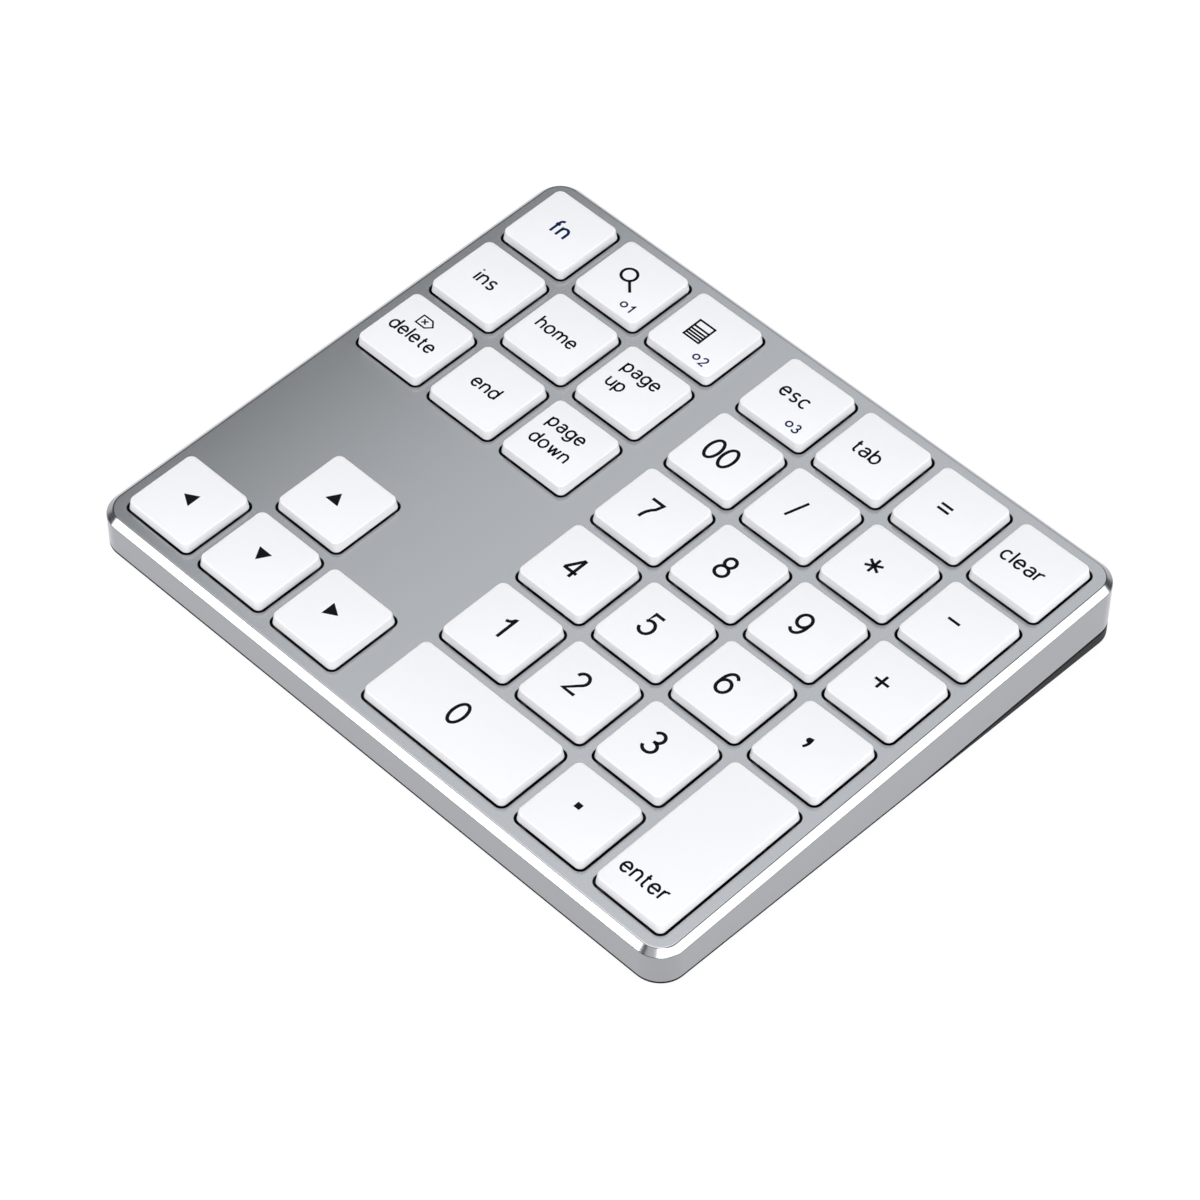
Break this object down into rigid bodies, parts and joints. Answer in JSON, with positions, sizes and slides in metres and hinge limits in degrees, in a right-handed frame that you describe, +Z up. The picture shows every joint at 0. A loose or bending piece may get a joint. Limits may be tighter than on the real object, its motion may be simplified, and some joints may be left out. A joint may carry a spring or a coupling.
{
  "type": "numeric keypad",
  "caption": "Low wedge-shaped wireless keypad: aluminium shell, white scissor keys in an editing block and a number block, and a black plastic base.",
  "frame": {"origin": "on the surface that the feet stand on, under the middle of the keypad's box", "axes": "+X to the typist's right, +Y to the back of the keypad, +Z up"},
  "size_m": [0.1432, 0.1202, 0.0173],
  "materials": {
    "anodised_aluminium": "satin, bead-blasted and anodised, with a bright-cut chamfer",
    "keycap_plastic": "fine matt, white",
    "cover_plastic": "fine moulded texture, black",
    "plated_steel": "zinc plated",
    "membrane_film": "translucent film",
    "dome_rubber": "silicone",
    "scissor_plastic": "satin",
    "spring_wire": "drawn wire",
    "screw_steel": "zinc plated",
    "board_laminate": "solder mask",
    "chip_plastic": "moulded",
    "cell_foil": "foil pouch",
    "pad_foam": "closed-cell foam tape",
    "lead_insulation": "insulation",
    "socket_steel": "drawn and plated",
    "clear_plastic": "clear",
    "tail_film": "polyimide film",
    "foot_rubber": "matt rubber",
    "legend_ink": "printed ink",
    "legend_ink_blue": "printed ink"
  },
  "bodies": {
    "case": {"top_shell": "anodised_aluminium", "bottom_cover": "cover_plastic", "base_plate": "plated_steel", "membrane_sheet": "membrane_film", "rubber_domes": "dome_rubber", "outer_scissor_frames": "scissor_plastic", "inner_scissor_frames": "scissor_plastic", "module_screws": "screw_steel", "circuit_board": "board_laminate", "board_chips": "chip_plastic", "board_screws": "screw_steel", "battery_cell": "cell_foil", "battery_pad": "pad_foam", "battery_lead": "lead_insulation", "usb_socket_shell": "socket_steel", "usb_socket_tongue": "chip_plastic", "power_switch_case": "chip_plastic", "indicator_light_pipe": "clear_plastic", "membrane_tail": "tail_film", "case_screws": "screw_steel", "rubber_feet": "foot_rubber"},
    "key_fn": {"key_fn": "keycap_plastic"},
    "key_search": {"key_search": "keycap_plastic"},
    "key_calculator": {"key_calculator": "keycap_plastic"},
    "key_esc": {"key_esc": "keycap_plastic"},
    "key_tab": {"key_tab": "keycap_plastic"},
    "key_equals": {"key_equals": "keycap_plastic"},
    "key_clear": {"key_clear": "keycap_plastic"},
    "key_insert": {"key_insert": "keycap_plastic"},
    "key_home": {"key_home": "keycap_plastic"},
    "key_page_up": {"key_page_up": "keycap_plastic"},
    "key_double_zero": {"key_double_zero": "keycap_plastic"},
    "key_divide": {"key_divide": "keycap_plastic"},
    "key_multiply": {"key_multiply": "keycap_plastic"},
    "key_minus": {"key_minus": "keycap_plastic"},
    "key_delete": {"key_delete": "keycap_plastic"},
    "key_end": {"key_end": "keycap_plastic"},
    "key_page_down": {"key_page_down": "keycap_plastic"},
    "key_7": {"key_7": "keycap_plastic"},
    "key_8": {"key_8": "keycap_plastic"},
    "key_9": {"key_9": "keycap_plastic"},
    "key_plus": {"key_plus": "keycap_plastic"},
    "key_4": {"key_4": "keycap_plastic"},
    "key_5": {"key_5": "keycap_plastic"},
    "key_6": {"key_6": "keycap_plastic"},
    "key_comma": {"key_comma": "keycap_plastic"},
    "key_up": {"key_up": "keycap_plastic"},
    "key_1": {"key_1": "keycap_plastic"},
    "key_2": {"key_2": "keycap_plastic"},
    "key_3": {"key_3": "keycap_plastic"},
    "key_enter": {"key_enter": "keycap_plastic"},
    "key_left": {"key_left": "keycap_plastic"},
    "key_down": {"key_down": "keycap_plastic"},
    "key_right": {"key_right": "keycap_plastic"},
    "key_0": {"key_0": "keycap_plastic"},
    "key_point": {"key_point": "keycap_plastic"},
    "zero_key_stabiliser": {"zero_key_stabiliser": "spring_wire"},
    "enter_key_stabiliser": {"enter_key_stabiliser": "spring_wire"},
    "power_switch_knob": {"power_switch_knob": "cover_plastic"}
  },
  "joints": [
    {"name": "press_fn", "type": "slide", "parent": "case", "child": "key_fn", "axis": [0, 0.0523, -0.9986], "range_m": [0, 0.0018], "stiffness_N_per_m": 300, "springref_m": -0.0008, "deforming": ["rubber_domes", "outer_scissor_frames", "inner_scissor_frames"]},
    {"name": "press_search", "type": "slide", "parent": "case", "child": "key_search", "axis": [0, 0.0523, -0.9986], "range_m": [0, 0.0018], "stiffness_N_per_m": 300, "springref_m": -0.0008, "deforming": ["rubber_domes", "outer_scissor_frames", "inner_scissor_frames"]},
    {"name": "press_calculator", "type": "slide", "parent": "case", "child": "key_calculator", "axis": [0, 0.0523, -0.9986], "range_m": [0, 0.0018], "stiffness_N_per_m": 300, "springref_m": -0.0008, "deforming": ["rubber_domes", "outer_scissor_frames", "inner_scissor_frames"]},
    {"name": "press_esc", "type": "slide", "parent": "case", "child": "key_esc", "axis": [0, 0.0523, -0.9986], "range_m": [0, 0.0018], "stiffness_N_per_m": 300, "springref_m": -0.0008, "deforming": ["rubber_domes", "outer_scissor_frames", "inner_scissor_frames"]},
    {"name": "press_tab", "type": "slide", "parent": "case", "child": "key_tab", "axis": [0, 0.0523, -0.9986], "range_m": [0, 0.0018], "stiffness_N_per_m": 300, "springref_m": -0.0008, "deforming": ["rubber_domes", "outer_scissor_frames", "inner_scissor_frames"]},
    {"name": "press_equals", "type": "slide", "parent": "case", "child": "key_equals", "axis": [0, 0.0523, -0.9986], "range_m": [0, 0.0018], "stiffness_N_per_m": 300, "springref_m": -0.0008, "deforming": ["rubber_domes", "outer_scissor_frames", "inner_scissor_frames"]},
    {"name": "press_clear", "type": "slide", "parent": "case", "child": "key_clear", "axis": [0, 0.0523, -0.9986], "range_m": [0, 0.0018], "stiffness_N_per_m": 300, "springref_m": -0.0008, "deforming": ["rubber_domes", "outer_scissor_frames", "inner_scissor_frames"]},
    {"name": "press_insert", "type": "slide", "parent": "case", "child": "key_insert", "axis": [0, 0.0523, -0.9986], "range_m": [0, 0.0018], "stiffness_N_per_m": 300, "springref_m": -0.0008, "deforming": ["rubber_domes", "outer_scissor_frames", "inner_scissor_frames"]},
    {"name": "press_home", "type": "slide", "parent": "case", "child": "key_home", "axis": [0, 0.0523, -0.9986], "range_m": [0, 0.0018], "stiffness_N_per_m": 300, "springref_m": -0.0008, "deforming": ["rubber_domes", "outer_scissor_frames", "inner_scissor_frames"]},
    {"name": "press_page_up", "type": "slide", "parent": "case", "child": "key_page_up", "axis": [0, 0.0523, -0.9986], "range_m": [0, 0.0018], "stiffness_N_per_m": 300, "springref_m": -0.0008, "deforming": ["rubber_domes", "outer_scissor_frames", "inner_scissor_frames"]},
    {"name": "press_double_zero", "type": "slide", "parent": "case", "child": "key_double_zero", "axis": [0, 0.0523, -0.9986], "range_m": [0, 0.0018], "stiffness_N_per_m": 300, "springref_m": -0.0008, "deforming": ["rubber_domes", "outer_scissor_frames", "inner_scissor_frames"]},
    {"name": "press_divide", "type": "slide", "parent": "case", "child": "key_divide", "axis": [0, 0.0523, -0.9986], "range_m": [0, 0.0018], "stiffness_N_per_m": 300, "springref_m": -0.0008, "deforming": ["rubber_domes", "outer_scissor_frames", "inner_scissor_frames"]},
    {"name": "press_multiply", "type": "slide", "parent": "case", "child": "key_multiply", "axis": [0, 0.0523, -0.9986], "range_m": [0, 0.0018], "stiffness_N_per_m": 300, "springref_m": -0.0008, "deforming": ["rubber_domes", "outer_scissor_frames", "inner_scissor_frames"]},
    {"name": "press_minus", "type": "slide", "parent": "case", "child": "key_minus", "axis": [0, 0.0523, -0.9986], "range_m": [0, 0.0018], "stiffness_N_per_m": 300, "springref_m": -0.0008, "deforming": ["rubber_domes", "outer_scissor_frames", "inner_scissor_frames"]},
    {"name": "press_delete", "type": "slide", "parent": "case", "child": "key_delete", "axis": [0, 0.0523, -0.9986], "range_m": [0, 0.0018], "stiffness_N_per_m": 300, "springref_m": -0.0008, "deforming": ["rubber_domes", "outer_scissor_frames", "inner_scissor_frames"]},
    {"name": "press_end", "type": "slide", "parent": "case", "child": "key_end", "axis": [0, 0.0523, -0.9986], "range_m": [0, 0.0018], "stiffness_N_per_m": 300, "springref_m": -0.0008, "deforming": ["rubber_domes", "outer_scissor_frames", "inner_scissor_frames"]},
    {"name": "press_page_down", "type": "slide", "parent": "case", "child": "key_page_down", "axis": [0, 0.0523, -0.9986], "range_m": [0, 0.0018], "stiffness_N_per_m": 300, "springref_m": -0.0008, "deforming": ["rubber_domes", "outer_scissor_frames", "inner_scissor_frames"]},
    {"name": "press_7", "type": "slide", "parent": "case", "child": "key_7", "axis": [0, 0.0523, -0.9986], "range_m": [0, 0.0018], "stiffness_N_per_m": 300, "springref_m": -0.0008, "deforming": ["rubber_domes", "outer_scissor_frames", "inner_scissor_frames"]},
    {"name": "press_8", "type": "slide", "parent": "case", "child": "key_8", "axis": [0, 0.0523, -0.9986], "range_m": [0, 0.0018], "stiffness_N_per_m": 300, "springref_m": -0.0008, "deforming": ["rubber_domes", "outer_scissor_frames", "inner_scissor_frames"]},
    {"name": "press_9", "type": "slide", "parent": "case", "child": "key_9", "axis": [0, 0.0523, -0.9986], "range_m": [0, 0.0018], "stiffness_N_per_m": 300, "springref_m": -0.0008, "deforming": ["rubber_domes", "outer_scissor_frames", "inner_scissor_frames"]},
    {"name": "press_plus", "type": "slide", "parent": "case", "child": "key_plus", "axis": [0, 0.0523, -0.9986], "range_m": [0, 0.0018], "stiffness_N_per_m": 300, "springref_m": -0.0008, "deforming": ["rubber_domes", "outer_scissor_frames", "inner_scissor_frames"]},
    {"name": "press_4", "type": "slide", "parent": "case", "child": "key_4", "axis": [0, 0.0523, -0.9986], "range_m": [0, 0.0018], "stiffness_N_per_m": 300, "springref_m": -0.0008, "deforming": ["rubber_domes", "outer_scissor_frames", "inner_scissor_frames"]},
    {"name": "press_5", "type": "slide", "parent": "case", "child": "key_5", "axis": [0, 0.0523, -0.9986], "range_m": [0, 0.0018], "stiffness_N_per_m": 300, "springref_m": -0.0008, "deforming": ["rubber_domes", "outer_scissor_frames", "inner_scissor_frames"]},
    {"name": "press_6", "type": "slide", "parent": "case", "child": "key_6", "axis": [0, 0.0523, -0.9986], "range_m": [0, 0.0018], "stiffness_N_per_m": 300, "springref_m": -0.0008, "deforming": ["rubber_domes", "outer_scissor_frames", "inner_scissor_frames"]},
    {"name": "press_comma", "type": "slide", "parent": "case", "child": "key_comma", "axis": [0, 0.0523, -0.9986], "range_m": [0, 0.0018], "stiffness_N_per_m": 300, "springref_m": -0.0008, "deforming": ["rubber_domes", "outer_scissor_frames", "inner_scissor_frames"]},
    {"name": "press_up", "type": "slide", "parent": "case", "child": "key_up", "axis": [0, 0.0523, -0.9986], "range_m": [0, 0.0018], "stiffness_N_per_m": 300, "springref_m": -0.0008, "deforming": ["rubber_domes", "outer_scissor_frames", "inner_scissor_frames"]},
    {"name": "press_1", "type": "slide", "parent": "case", "child": "key_1", "axis": [0, 0.0523, -0.9986], "range_m": [0, 0.0018], "stiffness_N_per_m": 300, "springref_m": -0.0008, "deforming": ["rubber_domes", "outer_scissor_frames", "inner_scissor_frames"]},
    {"name": "press_2", "type": "slide", "parent": "case", "child": "key_2", "axis": [0, 0.0523, -0.9986], "range_m": [0, 0.0018], "stiffness_N_per_m": 300, "springref_m": -0.0008, "deforming": ["rubber_domes", "outer_scissor_frames", "inner_scissor_frames"]},
    {"name": "press_3", "type": "slide", "parent": "case", "child": "key_3", "axis": [0, 0.0523, -0.9986], "range_m": [0, 0.0018], "stiffness_N_per_m": 300, "springref_m": -0.0008, "deforming": ["rubber_domes", "outer_scissor_frames", "inner_scissor_frames"]},
    {"name": "press_enter", "type": "slide", "parent": "case", "child": "key_enter", "axis": [0, 0.0523, -0.9986], "range_m": [0, 0.0018], "stiffness_N_per_m": 300, "springref_m": -0.0008, "deforming": ["rubber_domes", "outer_scissor_frames", "inner_scissor_frames"]},
    {"name": "press_left", "type": "slide", "parent": "case", "child": "key_left", "axis": [0, 0.0523, -0.9986], "range_m": [0, 0.0018], "stiffness_N_per_m": 300, "springref_m": -0.0008, "deforming": ["rubber_domes", "outer_scissor_frames", "inner_scissor_frames"]},
    {"name": "press_down", "type": "slide", "parent": "case", "child": "key_down", "axis": [0, 0.0523, -0.9986], "range_m": [0, 0.0018], "stiffness_N_per_m": 300, "springref_m": -0.0008, "deforming": ["rubber_domes", "outer_scissor_frames", "inner_scissor_frames"]},
    {"name": "press_right", "type": "slide", "parent": "case", "child": "key_right", "axis": [0, 0.0523, -0.9986], "range_m": [0, 0.0018], "stiffness_N_per_m": 300, "springref_m": -0.0008, "deforming": ["rubber_domes", "outer_scissor_frames", "inner_scissor_frames"]},
    {"name": "press_0", "type": "slide", "parent": "case", "child": "key_0", "axis": [0, 0.0523, -0.9986], "range_m": [0, 0.0018], "stiffness_N_per_m": 300, "springref_m": -0.0008, "deforming": ["rubber_domes", "outer_scissor_frames", "inner_scissor_frames"]},
    {"name": "press_point", "type": "slide", "parent": "case", "child": "key_point", "axis": [0, 0.0523, -0.9986], "range_m": [0, 0.0018], "stiffness_N_per_m": 300, "springref_m": -0.0008, "deforming": ["rubber_domes", "outer_scissor_frames", "inner_scissor_frames"]},
    {"name": "zero_stabiliser_turn", "type": "hinge", "parent": "case", "child": "zero_key_stabiliser", "pos_m": [0.01175, -0.05343, 0.00734], "axis": [1, 0, 0], "range_deg": [-16.6, 0]},
    {"name": "enter_stabiliser_turn", "type": "hinge", "parent": "case", "child": "enter_key_stabiliser", "pos_m": [0.06495, -0.03825, 0.00813], "axis": [0, 0.9986, 0.0523], "range_deg": [-16.6, 0]},
    {"name": "power_switch_slide", "type": "slide", "parent": "case", "child": "power_switch_knob", "axis": [1, 0, 0], "range_m": [0, 0.002]}
  ],
  "couplings": [
    {"joint": "zero_stabiliser_turn", "follows": "press_0", "rad_per_m": -160.77},
    {"joint": "enter_stabiliser_turn", "follows": "press_enter", "rad_per_m": -160.77}
  ]
}
